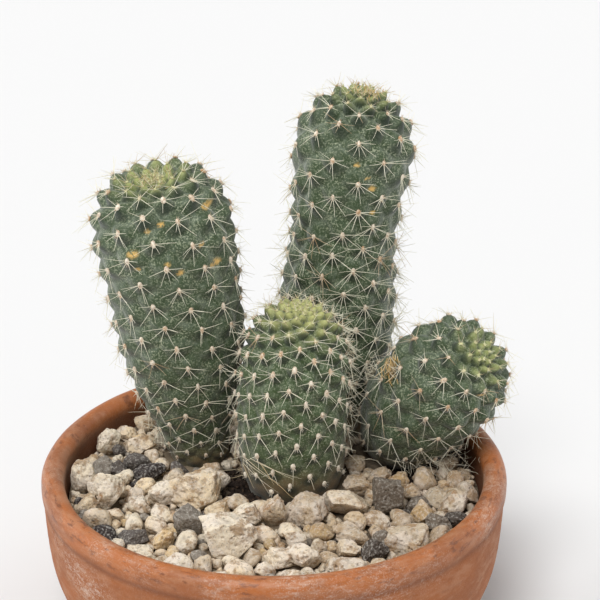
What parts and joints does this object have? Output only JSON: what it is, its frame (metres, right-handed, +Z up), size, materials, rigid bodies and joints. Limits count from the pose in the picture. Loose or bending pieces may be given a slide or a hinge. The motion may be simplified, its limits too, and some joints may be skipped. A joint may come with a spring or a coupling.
{
  "type": "potted rebutia",
  "caption": "Small clustering cactus with upright and leaning spiny stems in a shallow round terracotta bowl, filled with soil and topped with pumice.",
  "frame": {"origin": "middle of the flat underside of the bowl, which stands on the surface", "axes": "+Z up, the longest way; -Y is the side that the bowl is looked at from, with the leaning stem toward +X"},
  "size_m": [0.1233, 0.12, 0.1427],
  "materials": {
    "terracotta": "unglazed, matt, with pale mineral marks",
    "soil": "dark, crumbly",
    "pumice": "rough, pitted",
    "skin": "matt waxy green skin with ivory spines",
    "young_skin": "matt waxy yellow-green skin with ivory spines"
  },
  "bodies": {
    "root": {"pot": "terracotta", "soil": "soil", "gravel": "pumice", "stem_left": "skin", "stem_back": "skin", "stem_front": "young_skin", "stem_right": "skin"}
  },
  "joints": []
}
